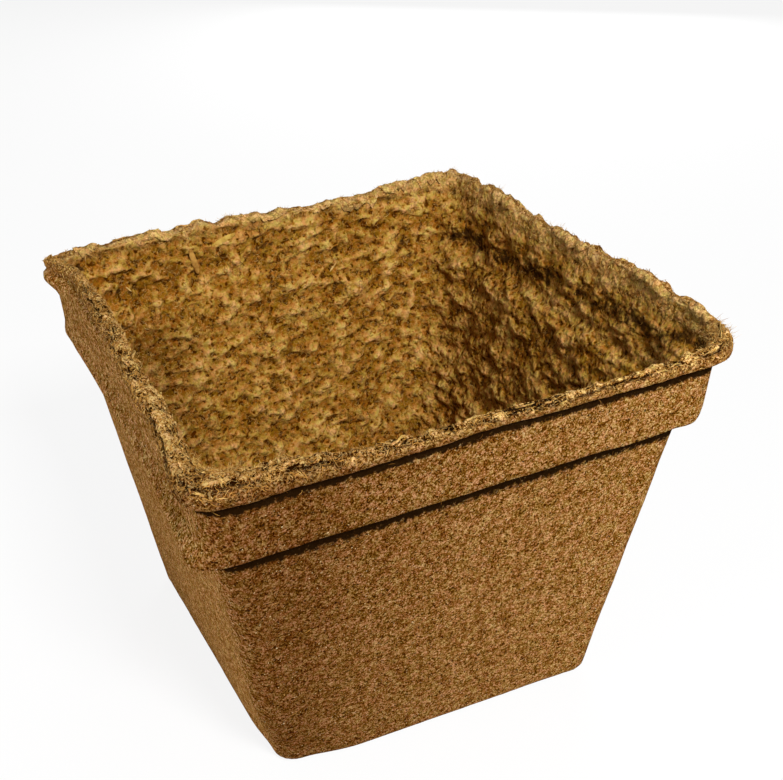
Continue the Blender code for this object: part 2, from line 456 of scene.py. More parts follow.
def warp(plain, around, across, along, inside, corner):
    """How far this pot's walls, corners and collar stray from the plain shape, in millimetres."""
    x, y, z = plain.T
    move = np.zeros_like(plain)
    # The foot is turned a little and the walls lean, the left one most at its front end
    high = np.clip(z / COLLAR_FOOT, 0, 1)
    turned = FOOT_TURN_RIGHT * (1 + across) / 2 - FOOT_TURN_LEFT * (1 - across) / 2
    move[:, 1] -= turned * (1 - high) * (1 - along) / 2
    heights, leans = np.array(LEFT_LEAN).T
    lean = (1 + along) / 2 + np.interp(z, heights, leans) * (1 - along) / 2
    body = ramp(z, 0.104, 0.098)
    move[:, 0] -= lean * body * (1 - across) / 2 + RIGHT_LEAN * body * (1 + across) / 2

    # The back-left corner of the rim is pulled out to the left
    ear = ramp(x, -0.060, -0.070) * ramp(y, 0.054, 0.070) * ramp(z, 0.1120, 0.1190)
    move[:, 0] -= EAR_PULL * ear

    # The front-left corner of the foot is worn back
    worn = ramp(-across, 0.5, 1.0) * ramp(-along, 0.5, 1.0) * ramp(z, 0.034, 0.0)
    move[:, 0] += WORN_LEFT * worn
    move[:, 1] += WORN_FRONT * worn

    # The outside corners are a little sharper, and those inside are filled with felt and far rounder
    least = np.minimum(np.abs(across), np.abs(along))
    fill = CORNER_FILL * ramp(least, 0.70, 0.97) * ramp(z, 0.006, 0.020) * ramp(z, 0.1215, 0.1120)
    out = SHARP_CORNER * corner * (1 - inside) - fill * inside
    move[:, 0] += np.sign(x) * out
    move[:, 1] += np.sign(y) * out

    # The foot of the collar wanders a little
    foot = bump_at(z, COLLAR_FOOT, 0.003) * (1 - inside)
    move[:, 2] += foot * (0.45 * fractal(around, 0.014, 2, 25.0) - 0.5)
    return move


def overhang_shade_mask(height, half, around, turn, sag):
    """How much painted shade falls in the corners under the lip and under the collar, from 0 to 1, in place
    of the shadow that these overhangs cast.
    """
    ragged = 0.5 * fractal(around, 0.004, 3, 41.0) - 1.0
    bulge = from_table(COLLAR_BULGE, turn)
    overhang = (RIM_HALF - COLLAR_HIGH) / MM + from_table(LIP_REACH, turn) - bulge
    reach = OVERHANG_SHADE_REACH * np.clip(overhang, 0, LIP_OVERHANG)
    lip_edge = 0.1213 + (ragged - sag - reach) * MM
    under_lip = ramp(overhang, 0.4, 2.0) * ramp(height, lip_edge - 0.0018, lip_edge + 0.0008)
    under_lip *= ramp(half, RIM_HALF - 0.0008, RIM_HALF - 0.0018)
    reach = OVERHANG_SHADE_REACH * np.minimum(COLLAR_STEP + bulge, COLLAR_OVERHANG)
    collar_edge = COLLAR_FOOT + (ragged - 0.9 - reach) * MM
    under_collar = ramp(height, collar_edge - 0.0016, collar_edge + 0.0008)
    under_collar *= ramp(half, COLLAR_LOW - 0.0008, BODY_TOP + 0.0010)
    under_collar *= height < 0.0996
    return np.maximum(under_lip, under_collar) * (height < 0.1214)


def painted_shade_patches(places, front, back, inside, torn_lip):
    """How much painted shade darkens the fibre: the front towards the left, where the light falls off, and
    the near-left lip and the inside back left, where nearby walls shade it.
    """
    x, y, z = places.T
    across_front, dimming = np.array(FRONT_SHADE).T
    outer_shade = front * (1 - inside) * np.interp(x, across_front, dimming)
    lip_shade = (0.60 + 0.40 * ramp(y, -0.045, -0.065)) * torn_lip * ramp(x, -0.040, -0.060)
    inner_shade = 0.8 * back * inside * ramp(x, -0.020, -0.052) * ramp(z, 0.106, 0.086)
    return np.maximum.reduce([outer_shade, inner_shade, lip_shade])


def sculpt(piece, tuck):
    """Felt inside, a torn uneven lip, a nearly smooth outside, and the warps of this one pot.

    Tuck is how many millimetres the lip sinks, so that the pot's own lip hides under the torn one.
    """
    mesh = piece.data
    plain, normals = places_and_normals(mesh)
    x, y, z = plain.T
    half = ring_half(plain)
    deep = ramp(outer_half(z) - half, WALL * 0.3, WALL * 0.7)
    inside = deep * ramp(z, FLOOR * 0.4, FLOOR * 0.8)
    lip = ramp(z, 0.1200, 0.1216)
    top = ramp(z, 0.1250, 0.1268) * ramp(half, RIM_HALF + 0.0004, RIM_HALF - 0.0010)
    inner_lip = ramp(half, RIM_HALF - 0.0026, RIM_HALF - 0.0042)
    size = np.maximum(half, 0.01)
    across = np.clip(x / size, -SIDE_END, SIDE_END)
    along = np.clip(y / size, -SIDE_END, SIDE_END)
    flat_turn, upright_turn, turn = way_round(across, along)
    around = plain * (RIM_HALF / size)[:, None]
    around[:, 2] = 0
    torn = from_table(LIP_TORN, turn)
    right = ramp(x - np.abs(y), -0.004, 0.004)
    back = ramp(y - np.abs(x), -0.004, 0.004)

    # Felt and skin
    felt, broad, shaded_hollow = felt_relief(plain, around, inside, torn, right, back)
    inner = inside * (1 - top)
    skin = 0.15 * fractal(plain, 0.016, 3, 2.2) + 0.05 * fractal(plain, 0.004, 2, 4.4)
    move = normals * (felt * inner + skin * (1 - inside) * (1 - 0.7 * lip))[:, None]

    # Lip: split, rough on top and inside, uneven in height and sagging underneath
    shred = fractal(plain, 0.0036, 3, 17.0)
    split_line = SPLIT_LEVEL + 0.0006 * fractal(around, 0.008, 2, 31.0)
    split = bump_at(z, split_line, 0.0006) * ramp(half, RIM_HALF - 0.0018, RIM_HALF - 0.0006)
    split *= torn * ramp(fractal(around, 0.012, 2, 33.0), -0.12, 0.12)
    rough = 0.25 + 0.15 * top + torn * np.maximum(0.9 * top, 0.9 * inner_lip)
    rough *= tuck == 0
    sunk = np.maximum(ramp(z, 0.1211, 0.1224), inner_lip * ramp(z, 0.1188, 0.1224))
    move += normals * (lip * (rough * shred - SPLIT_DEPTH * split) - tuck * sunk)[:, None]
    drop = from_table(LIP_DROP, turn) + 0.5 * fractal(around, 0.009, 3, 13.0)
    drop += (0.12 + 0.65 * torn) * fractal(around, 0.0034, 2, 15.0)
    drop += 0.8 * (1 - torn) * np.tanh(12 * fractal(around, 0.0110, 3, 55.0))
    sag = from_table(LIP_SAG, turn) + 0.25 * fractal(around, 0.012, 2, 35.0)
    underside = ramp(z, 0.1120, 0.1205) * ramp(z, 0.1262, 0.1222) * (1 - inside)
    move[:, 2] -= ramp(z, 0.1222, 0.1266) * drop + underside * sag

    # The lip and the collar stand out more in some places than in others
    wander = 0.5 * fractal(around, 0.013, 3, 21.0)
    share = ramp(half, RIM_HALF - 0.0044, RIM_HALF - 0.0010)
    inner_part = (1 - share) * ramp(z, 0.1130, 0.1255)
    inner_part *= np.maximum(lip, ramp(half, COLLAR_HIGH - 0.0010, COLLAR_HIGH - 0.0020))
    collar = ramp(half, BODY_TOP + 0.0004, COLLAR_LOW - 0.0006) * ramp(z, 0.0985, 0.0995)
    collar *= (1 - inside) * (1 - lip)

    def reach(at):
        lip_out = (from_table(LIP_REACH, at) + wander) * share * lip
        opened = from_table(LIP_OPENING, at) * inner_part
        return lip_out + opened + from_table(COLLAR_BULGE, at) * collar

    sideways = ramp(np.abs(across), 1 - 1.6 * CORNER_BEND, 1 - 0.1 * CORNER_BEND)
    endways = ramp(np.abs(along), 1 - 1.6 * CORNER_BEND, 1 - 0.1 * CORNER_BEND)
    move[:, 0] += np.sign(x) * sideways * reach(upright_turn)
    move[:, 1] += np.sign(y) * endways * reach(flat_turn)
    move += warp(plain, around, across, along, inside, sideways * endways)
    places = plain + move * MM
    places[:, 2] = np.maximum(places[:, 2], 0)
    mesh.vertices.foreach_set("co", places.ravel())
    mesh.update()

    # Where each finish goes, and where shade is painted
    relief = (felt - broad) * inner + lip * (1.3 * shred * rough - 3.6 * split)
    straw = np.maximum.reduce([top, inner_lip, 0.5 * ramp(z, 0.1222, 0.1254)])
    # Painted shade under the lip and the collar, in place of the shadow that these overhangs cast
    overhang_shade = overhang_shade_mask(places[:, 2], half, around, turn, sag) * (1 - inside)
    front = ramp(-y - np.abs(x), -0.010, 0.002)
    store(mesh, "felt", np.clip(np.maximum(inside, inner_lip * lip), 0, 1))
    store(mesh, "torn", lip * np.clip(torn * straw + 0.08, 0, 1))
    store(mesh, "relief", np.clip(relief / 4 + 0.5, 0, 1))
    store(mesh, "overhang_shade", np.clip(overhang_shade, 0, 1))
    # How much painted shade darkens the hollows, rim cracks and gaps of the felt
    store(mesh, "shaded_hollow", shaded_hollow)
    store(mesh, "fringe", top * (1 - torn))
    # Painted shade in patches, where the light falls off or nearby walls shade the fibre
    store(mesh, "painted_dimming", painted_shade_patches(places, front, back, inside, lip * torn))


LIP_TUCK = 1.6
pot = pot_blank()
lip = lip_band(pot)
refine(pot)
drain(pot)
sculpt(pot, LIP_TUCK)
sculpt(lip, 0)
close_band(lip)
for piece in (pot, lip):
    work_on(piece)
    bpy.ops.object.shade_smooth(keep_sharp_edges=True)


# Loose fibre: straws, flakes, plates and husks that lie in and on the felt

STRAW_GIRTH = 0.1  # in millimetres, before each straw is made thicker or thinner
STRAW_TAPER = (0.45, 1.0, 0.9, 0.3)  # how thick a straw is at each of its points
STRAW_BEND = 0.20
STRAW_SEAT = 0.35  # how far the middle of a straw lies off the felt, as a share of its thickness
STRAW_WELD = 0.000001  # closes the ends of the straws
SHRED_COLUMNS = 6
SHRED_ROOT = 0.0006  # how deep a flake is rooted in the lip
SHRED_THICKNESS = 0.00025
PLATE_COLUMNS = 14
PLATE_RISE = 0.0006  # the most that a plate stands above the lip
PLATE_RAGGED = 0.0004  # how far the upper edge of a plate rises and falls
PLATE_REACH = 0.012  # from the crest back to where the wall behind a plate is looked for
PLATE_GAP = 0.0009  # between the lower edge of a plate and the wall
ABOVE_LIP = 0.14
RIM_CORNER = 0.008  # closer than this to the diagonal, the rim runs round a corner
TINY_AREA = 1e-12


def triangles_of(mesh):
    mesh.calc_loop_triangles()
    corners = np.empty(len(mesh.loop_triangles) * 3, dtype=np.int32)
    mesh.loop_triangles.foreach_get("vertices", corners)
    return corners.reshape(-1, 3)


class Surface:
    """Where straws can lie: the triangles of one piece."""

    def __init__(self, piece):
        places, _ = places_and_normals(piece.data)
        triangles = triangles_of(piece.data)
        self.corners = places[triangles]
        self.tree = BVHTree.FromPolygons([tuple(p) for p in places], triangles.tolist())

    def nearest(self, place):
        return self.tree.find_nearest(place)[0]


def scatter(surface, chance, count, keep):
    """Random points on a surface, evenly by area, where keep gives the weight of each triangle."""
    corners = surface.corners
    cross = np.cross(corners[:, 1] - corners[:, 0], corners[:, 2] - corners[:, 0])
    area = np.linalg.norm(cross, axis=1) / 2
    middle = corners.mean(axis=1)
    facing = cross / np.maximum(2 * area, TINY_AREA)[:, None]
    weight = area * keep(middle, facing)
    chosen = chance.choice(len(weight), size=count, p=weight / weight.sum())
    share = chance.random((count, 2))
    over = share.sum(axis=1) > 1
    share[over] = 1 - share[over]
    a, b, c = corners[chosen].transpose(1, 0, 2)
    return a + (b - a) * share[:, :1] + (c - a) * share[:, 1:], facing[chosen]


def rim_way(place):
    """The way that the rim runs at a place."""
    if abs(abs(place[0]) - abs(place[1])) < RIM_CORNER:
        return Vector((-place[1], place[0], 0)).normalized()
    return Vector((0, 1, 0)) if abs(place[0]) > abs(place[1]) else Vector((1, 0, 0))


def fibres(name, surface, keep, colours, seed, count, length, thick, lift, along):
    """Straws that follow the surface, some with an end lifted off it.

    Length and thick are the least and the most, in metres and in millimetres. Lift is how far an end
    rises at most, and along is how much the straws follow the rim, from 0 to 1.
    """
    chance = np.random.default_rng(seed)
    places, facing = scatter(surface, chance, count, keep)
    curve = bpy.data.curves.new(name, "CURVE")
    curve.dimensions = "3D"
    curve.bevel_depth = STRAW_GIRTH * MM
    curve.bevel_resolution = 0
    curve.use_fill_caps = True
    for colour in colours:
        curve.materials.append(colour)
    last = len(STRAW_TAPER) - 1
    for place, normal in zip(places, facing):
        normal = Vector(normal)
        way = Vector(chance.normal(size=3))
        way = way * (1 - along) + rim_way(place) * along * (1 if chance.random() < 0.5 else -1) * 2
        way = (way - normal * way.dot(normal)).normalized()
        side = normal.cross(way)
        size = length[0] + (length[1] - length[0]) * chance.random() ** 2.2
        bend = chance.normal() * STRAW_BEND
        rise = lift * chance.random() ** 3
        spline = curve.splines.new("POLY")
        spline.points.add(last)
        spline.material_index = int(chance.integers(len(colours)))
        girth = (thick[0] + (thick[1] - thick[0]) * chance.random()) / STRAW_GIRTH
        rows = []
        for step in range(last + 1):
            run = step / last
            spot = Vector(place) + way * (size * (run - 0.5)) + side * (size * bend * (run - 0.5) ** 2 * 4)
            near, near_normal, _, _ = surface.tree.find_nearest(spot)
            spot = near + near_normal * (girth * STRAW_GIRTH * MM * STRAW_SEAT) + normal * (rise * run * run)
            rows.append((*spot, 1))
        spline.points.foreach_set("co", np.array(rows).ravel())
        spline.points.foreach_set("radius", np.array(STRAW_TAPER) * girth)
    straws = bpy.data.objects.new(name, curve)
    bpy.context.scene.collection.objects.link(straws)
    work_on(straws)
    bpy.ops.object.convert(target="MESH")
    straws = bpy.context.object
    straws.name = name
    edit(straws)
    bpy.ops.mesh.remove_doubles(threshold=STRAW_WELD)
    bpy.ops.object.mode_set(mode="OBJECT")
    bpy.ops.object.shade_smooth()
    return straws


def strip_faces(first, columns):
    """The faces of a strip whose columns have three points each."""
    corners = [first + 3 * column + row for column in range(columns - 1) for row in range(2)]
    return [(corner, corner + 3, corner + 4, corner + 1) for corner in corners]


def felt_sheet(name, points, faces, chance):
    """Thin felt made from a sheet of faces."""
    mesh = bpy.data.meshes.new(name)
    mesh.from_pydata(points, [], faces)
    sheet = bpy.data.objects.new(name, mesh)
    bpy.context.scene.collection.objects.link(sheet)
    work_on(sheet)
    thick = sheet.modifiers.new("thick", "SOLIDIFY")
    thick.thickness = SHRED_THICKNESS
    thick.offset = 0
    bpy.ops.object.modifier_apply(modifier=thick.name)
    edit(sheet)
    face_outward()
    bpy.ops.object.shade_smooth()
    count = len(mesh.vertices)
    store(mesh, "felt", np.ones(count))
    store(mesh, "torn", np.full(count, 0.4))
    store(mesh, "relief", chance.uniform(0.45, 0.68, count))
    store(mesh, "fringe", np.full(count, 0.3))
    mesh.materials.append(FIBRE)
    return sheet


def shreds(name, keep, seed, count, length, height, lean):
    """Thin torn flakes of felt that stand up along the lip."""
    chance = np.random.default_rng(seed)
    places, _ = scatter(LIP_SURFACE, chance, count, keep)
    points = []
    faces = []
    for place in places:
        along = rim_way(place)
        outward = Vector((along.y, -along.x, 0))
        size = length[0] + (length[1] - length[0]) * chance.random() ** 2
        tall = height[0] + (height[1] - height[0]) * chance.random() ** 2
        tilt = lean * chance.normal()
        faces += strip_faces(len(points), SHRED_COLUMNS)
        for column in range(SHRED_COLUMNS):
            run = 2 * column / (SHRED_COLUMNS - 1) - 1
            foot = LIP_SURFACE.nearest(Vector(place) + along * (size * run / 2))
            rise = tall * math.sqrt(1 - 0.9 * run * run) * (0.4 + 0.8 * chance.random())
            tip = foot + Vector((0, 0, rise)) + outward * (tilt * rise)
            root = foot - Vector((0, 0, SHRED_ROOT))
            belly = (root + tip) / 2 + outward * (chance.normal() * SHRED_THICKNESS / 2)
            points += [root, belly, tip]
    return felt_sheet(name, points, faces, chance)


def plates(name, seed):
    """Ragged sheets of felt that hang over the inner edge of the far rim."""
    chance = np.random.default_rng(seed)
    points = []
    faces = []
    for start, end, hang in PLATES:
        start = Vector(start)
        end = Vector(end)
        outward = Vector((0, 1, 0)) if start.y == end.y else Vector((1, 0, 0))
        faces += strip_faces(len(points), PLATE_COLUMNS)
        for column in range(PLATE_COLUMNS):
            run = column / (PLATE_COLUMNS - 1)
            crest = start.lerp(end, run)
            high = Vector((crest.x, crest.y, ABOVE_LIP))
            lip_top = LIP_SURFACE.tree.ray_cast(high, Vector((0, 0, -1)))[0].z
            taper = min(1, 5 * run + 0.15, 5 * (1 - run) + 0.15)
            level = min(max(crest.z, lip_top), lip_top + PLATE_RISE)
            crest.z = level + taper * chance.uniform(0, PLATE_RAGGED)
            below = crest - Vector((0, 0, taper * hang * chance.uniform(0.5, 1.2)))
            wall = LIP_SURFACE.tree.ray_cast(below - outward * PLATE_REACH, outward)[0]
            if wall is None:
                wall = LIP_SURFACE.nearest(below)
            below = Vector((wall.x, wall.y, below.z)) - outward * (PLATE_GAP * taper)
            fold = crest.lerp(below, 0.35) - outward * (PLATE_GAP / 2 * taper)
            points += [crest, fold, below]
    return felt_sheet(name, points, faces, chance)


def husks(name):
    """Flat bits of husk pressed into the back wall near the rim."""
    made = []
    for place, size, slant, colour in HUSKS:
        deselect()
        spot = WALL_SURFACE.nearest(Vector(place))
        bpy.ops.mesh.primitive_uv_sphere_add(
            segments=12, ring_count=6, location=spot, rotation=(0, slant, 0), scale=size
        )
        made.append(bpy.context.object)
        made[-1].data.materials.append(colour)
        bpy.ops.object.transform_apply(location=True, rotation=True, scale=True)
        bpy.ops.object.shade_smooth()
    work_on(made[0])
    for husk in made:
        husk.select_set(True)
    bpy.ops.object.join()
    made[0].name = name
    return made[0]


# Materials


def add(tree, kind, inputs=(), **settings):
    """A new node with its settings, and a value or a link in each of the given inputs."""
    made = tree.nodes.new(kind)
    for key, value in settings.items():
        setattr(made, key, value)
    for key, value in dict(inputs).items():
        plug(tree, value, made.inputs[key])
    return made


def plug(tree, value, socket):
    if isinstance(value, bpy.types.NodeSocket):
        tree.links.new(value, socket)
    else:
        socket.default_value = value


def maths(tree, operation, first, second=0.0):
    return add(tree, "ShaderNodeMath", {0: first, 1: second}, operation=operation).outputs[0]


def stretch(tree, value, low, high, bottom, top):
    """Carries the range from low to high over to the range from bottom to top."""
    ends = {"From Min": low, "From Max": high, "To Min": bottom, "To Max": top}
    return add(tree, "ShaderNodeMapRange", {"Value": value, **ends}).outputs["Result"]


def mix(tree, share, first, second, blend="MIX"):
    inputs = {"Factor": share, "A": first, "B": second}
    made = add(tree, "ShaderNodeMix", inputs, data_type="RGBA", blend_type=blend)
    return made.outputs["Result"]


def grain(tree, where, size, detail=2.0, rough=0.6):
    """Random cloudiness with spots of the given size in metres."""
    inputs = {"Vector": where, "Scale": 1 / size, "Detail": detail, "Roughness": rough}
    return add(tree, "ShaderNodeTexNoise", inputs).outputs["Fac"]


def moved(tree, where, shift):
    """Another part of a pattern, so that two patterns don't fall together."""
    return add(tree, "ShaderNodeMapping", {"Vector": where, "Location": shift}).outputs["Vector"]


def attribute(tree, name):
    return add(tree, "ShaderNodeAttribute", attribute_name=name).outputs["Fac"]


def ragged_places(tree, where):
    """Places pushed about a little, so that crumbs get ragged edges."""
    wavy = add(tree, "ShaderNodeTexNoise", {"Vector": where, "Scale": RAGGED_SCALE}).outputs["Color"]
    inputs = {0: wavy, 1: (RAGGED_PUSH, RAGGED_PUSH, RAGGED_PUSH), 2: where}
    return add(tree, "ShaderNodeVectorMath", inputs, operation="MULTIPLY_ADD").outputs[0]


def crumbs(tree, where, size):
    """Random brightness for each crumb of fibre."""
    inputs = {"Vector": where, "Scale": 1 / size}
    colour = add(tree, "ShaderNodeTexVoronoi", inputs, feature="F1").outputs["Color"]
    return add(tree, "ShaderNodeSeparateColor", {"Color": colour}).outputs[0]


def strands(tree, where, size, width):
    """Thin winding lines, 1 along the middle of each."""
    inputs = {"Vector": where, "Scale": 1 / size, "Detail": 1.0, "Distortion": 1.2}
    winding = add(tree, "ShaderNodeTexNoise", inputs).outputs["Fac"]
    away = maths(tree, "ABSOLUTE", maths(tree, "SUBTRACT", winding, 0.5))
    return stretch(tree, away, width, width * 0.3, 0.0, 1.0)


def total(tree, first, *others):
    for other in others:
        first = maths(tree, "ADD", first, other)
    return first


def shades(tree, value, colours):
    """Runs through the colours, evenly spaced, as the value goes from 0 to 1."""
    made = add(tree, "ShaderNodeValToRGB")
    stops = made.color_ramp.elements
    stops[0].color = (*colours[0], 1)
    stops[-1].color = (*colours[-1], 1)
    for number in range(1, len(colours) - 1):
        stops.new(number / (len(colours) - 1)).color = (*colours[number], 1)
    plug(tree, value, made.inputs["Fac"])
    return made.outputs["Color"]


def matt(name, roughness):
    """A material without shine, its nodes and its shader."""
    material = bpy.data.materials.new(name)
    material.use_nodes = True
    shader = material.node_tree.nodes["Principled BSDF"]
    shader.inputs["Roughness"].default_value = roughness
    shader.inputs["Specular IOR Level"].default_value = 0.0
    return material, material.node_tree, shader


# Colours of the fibre, from the darkest crumb to the palest
SKIN_SHADES = [
    (0.036, 0.009, 0.000), (0.132, 0.045, 0.003), (0.240, 0.103, 0.019), (0.360, 0.185, 0.060),
    (0.560, 0.350, 0.170),
]
WOOL_SHADES = [
    (0.070, 0.020, 0.000), (0.255, 0.102, 0.008), (0.455, 0.242, 0.055), (0.620, 0.378, 0.132),
    (0.780, 0.540, 0.260),
]
LIP_SHADES = [
    (0.022, 0.006, 0.000), (0.098, 0.031, 0.004), (0.215, 0.087, 0.013), (0.390, 0.195, 0.040),
    (0.610, 0.360, 0.108), (0.850, 0.600, 0.260),
]
# Patches of the fibre are greener or redder than the rest, and painted shade darkens some places
OLIVE_TINT = (0.88, 1.09, 0.66, 1)
RED_TINT = (1.12, 0.89, 1.00, 1)
DIMMING_TINT = (0.46, 0.39, 0.35, 1)
DARK_PIT = (0.014, 0.005, 0.002, 1)
PALE_FLECK = (0.600, 0.460, 0.250, 1)
# Colour of the painted shade in the thin gaps between clumps of felt
GAP_SHADE = (0.050, 0.018, 0.003, 1)
FELT_HAIR = (0.680, 0.430, 0.140, 1)
# Colour of the painted shade in the hollows and gaps of the felt
HOLLOW_SHADE = (0.030, 0.012, 0.003, 1)
PALE_EDGE = (0.640, 0.440, 0.210, 1)
LIP_HAIR = (0.640, 0.420, 0.160, 1)
# Colour of the painted shade under the lip and the collar
CREASE_SHADE = (0.010, 0.004, 0.001, 1)

# Sizes of the spots and lines in the fibre, in metres
RAGGED_SCALE = 900
RAGGED_PUSH = 0.0007
SPECK_SPOT = 0.00050
FLECK_SPOT = 0.00045
BLOTCH_SPOT = 0.0022
TINT_SPOT = 0.0020
PIT_SPOT = 0.0009
PALE_SPOT = 0.0008
CURL_SPOT = 0.0018
FLUFF_SPOT = 0.0008
PATCH_SPOT = 0.0085
GAP_PATCH = 0.0060
GAP_LINE = 0.0032
FELT_HAIR_LINE = 0.0020
HOLLOW_SPOT = 0.0024
EDGE_SPOT = 0.0030
CLOT_SPOT = 0.0019
LIP_HAIR_LINE = 0.0022
CREASE_SPOT = 0.0016


def skin_colour(tree, where, speck, fleck, tint, painted_dimming):
    """Fine salt-and-pepper skin of the outside, with dark pits and pale flecks."""
    blotch = stretch(tree, grain(tree, where, BLOTCH_SPOT, 3.0, 0.65), 0.30, 0.70, -0.24, 0.24)
    skin = shades(tree, total(tree, 0.5, speck, fleck, blotch), SKIN_SHADES)
    skin = mix(tree, 0.5, skin, tint, "MULTIPLY")
    # Painted shade, darker where the light falls off or nearby walls shade the fibre
    skin = mix(tree, painted_dimming, skin, DIMMING_TINT, "MULTIPLY")
    pits = grain(tree, moved(tree, where, (0.3, 0.1, 0.7)), PIT_SPOT)
    skin = mix(tree, stretch(tree, pits, 0.372, 0.325, 0.0, 0.95), skin, DARK_PIT)
    flecks = grain(tree, moved(tree, where, (0.7, 0.4, 0.2)), PALE_SPOT)
    return mix(tree, stretch(tree, flecks, 0.690, 0.73, 0.0, 0.85), skin, PALE_FLECK)


def felt_colour(tree, where, curls, fluffs, tint, painted_dimming):
    """Clumped golden felt of the inside, with painted shade in its valleys, thin gaps and hollows, and a
    pale edge at the rim.
    """
    # Painted shade: the felt is darker where its bumps and relief are low
    curl = stretch(tree, curls, 0.26, 0.46, -0.48, 0.04)
    fluff = stretch(tree, fluffs, 0.25, 0.75, -0.07, 0.07)
    valley_shade = stretch(tree, attribute(tree, "relief"), 0.10, 0.50, -0.32, 0.09)
    patches = grain(tree, moved(tree, where, (0.6, 0.3, 0.8)), PATCH_SPOT, 3.0)
    patch = stretch(tree, patches, 0.35, 0.65, -0.09, 0.09)
    wool = shades(tree, total(tree, 0.525, curl, fluff, valley_shade, patch), WOOL_SHADES)
    wool = mix(tree, 0.75, wool, tint, "MULTIPLY")
    # Painted shade, darker where the light falls off or nearby walls shade the fibre
    wool = mix(tree, painted_dimming, wool, DIMMING_TINT, "MULTIPLY")
    # Painted shade in thin winding gaps between clumps of felt
    some = stretch(tree, grain(tree, where, GAP_PATCH), 0.42, 0.56, 0.0, 0.55)
    gap = maths(tree, "MULTIPLY", strands(tree, where, GAP_LINE, 0.045), some)
    wool = mix(tree, gap, wool, GAP_SHADE)
    hair = strands(tree, moved(tree, where, (0.3, 0.6, 0.1)), FELT_HAIR_LINE, 0.030)
    wool = mix(tree, maths(tree, "MULTIPLY", hair, 0.30), wool, FELT_HAIR)
    # Painted shade in the hollows, rim cracks and gaps of the felt, made uneven
    uneven = stretch(tree, grain(tree, where, HOLLOW_SPOT, 3.0, 0.65), 0.3, 0.7, -0.75, 0.75)
    deep = maths(tree, "ADD", attribute(tree, "shaded_hollow"), uneven)
    wool = mix(tree, stretch(tree, deep, 0.35, 1.05, 0.0, 0.90), wool, HOLLOW_SHADE)
    broken = stretch(tree, grain(tree, where, EDGE_SPOT, 3.0), 0.40, 0.60, 0.0, 0.75)
    return mix(tree, maths(tree, "MULTIPLY", attribute(tree, "fringe"), broken), wool, PALE_EDGE)


def lip_colour(tree, where, speck, fleck, tint, painted_dimming):
    """Straw-coloured fibre of the torn lip, with painted shade where it is split or low and a little painted
    light where it stands high.
    """
    clots = grain(tree, moved(tree, where, (0.2, 0.8, 0.3)), CLOT_SPOT, 3.0, 0.7)
    clot = stretch(tree, clots, 0.34, 0.66, -0.54, 0.54)
    # Painted shade in the splits and low parts of the lip, and painted light on its high parts
    lip_relief_shade = stretch(tree, attribute(tree, "relief"), 0.30, 0.68, -0.80, 0.40)
    crisp = maths(tree, "MULTIPLY", total(tree, 0.0, speck, fleck), 1.4)
    straw = shades(tree, total(tree, 0.45, clot, crisp, lip_relief_shade), LIP_SHADES)
    straw = mix(tree, 0.4, straw, tint, "MULTIPLY")
    # Painted shade, darker where the light falls off or nearby walls shade the fibre
    straw = mix(tree, maths(tree, "MULTIPLY", painted_dimming, 0.9), straw, DIMMING_TINT, "MULTIPLY")
    hair = strands(tree, moved(tree, where, (0.9, 0.1, 0.5)), LIP_HAIR_LINE, 0.030)
    return mix(tree, maths(tree, "MULTIPLY", hair, 0.5), straw, LIP_HAIR)


def pressed_fibre():
    """Skin outside, felt inside, straw on the torn lip, and painted shade in the corners under the lip and
    the collar.
    """
    material, tree, shader = matt("pressed_fibre", roughness=0.95)
    where = add(tree, "ShaderNodeTexCoord").outputs["Object"]
    felt = attribute(tree, "felt")
    painted_dimming = attribute(tree, "painted_dimming")
    speck = stretch(tree, crumbs(tree, ragged_places(tree, where), SPECK_SPOT), 0.0, 1.0, -0.34, 0.34)
    fleck = stretch(tree, grain(tree, where, FLECK_SPOT, 2.0, 0.75), 0.30, 0.70, -0.50, 0.50)
    hues = grain(tree, moved(tree, where, (0.4, 0.9, 0.6)), TINT_SPOT, 2.0, 0.7)
    tint = mix(tree, stretch(tree, hues, 0.38, 0.62, 0.0, 1.0), OLIVE_TINT, RED_TINT)
    curls = grain(tree, where, CURL_SPOT, 1.0, 0.5)
    fluffs = grain(tree, moved(tree, where, (0.5, 0.2, 0.9)), FLUFF_SPOT, 1.0, 0.5)

    skin = skin_colour(tree, where, speck, fleck, tint, painted_dimming)
    wool = felt_colour(tree, where, curls, fluffs, tint, painted_dimming)
    straw = lip_colour(tree, where, speck, fleck, tint, painted_dimming)
    colour = mix(tree, felt, skin, wool)
    colour = mix(tree, attribute(tree, "torn"), colour, straw)
    # Painted shade: the corners under the lip and the collar are darkened in the colour, ragged at the edge
    uneven = stretch(tree, grain(tree, where, CREASE_SPOT, 3.0, 0.7), 0.3, 0.7, -0.45, 0.45)
    overhang_darkness = maths(tree, "ADD", attribute(tree, "overhang_shade"), uneven)
    colour = mix(tree, stretch(tree, overhang_darkness, 0.22, 0.68, 0.0, 0.98), colour, CREASE_SHADE)
    plug(tree, colour, shader.inputs["Base Color"])

    # Fine relief: fluff all over, and curls that are high on the felt only
    fluff_height = maths(tree, "MULTIPLY", fluffs, stretch(tree, felt, 0.0, 1.0, 0.00030, 0.00012))
    curl_height = maths(tree, "MULTIPLY", curls, stretch(tree, felt, 0.0, 1.0, 0.00025, 0.00115))
    height = maths(tree, "ADD", fluff_height, curl_height)
    bump = add(tree, "ShaderNodeBump", {"Strength": 1.0, "Distance": 1.0, "Height": height})
    plug(tree, bump.outputs["Normal"], shader.inputs["Normal"])
    return material


def straw_colour(name, dark, pale):
    """A straw that passes from a darker to a paler colour in places."""
    material, tree, shader = matt(name, roughness=0.9)
    where = add(tree, "ShaderNodeTexCoord").outputs["Object"]
    shade = stretch(tree, grain(tree, where, 0.0025), 0.32, 0.68, 0.0, 1.0)
    plug(tree, mix(tree, shade, dark, pale), shader.inputs["Base Color"])
    return material


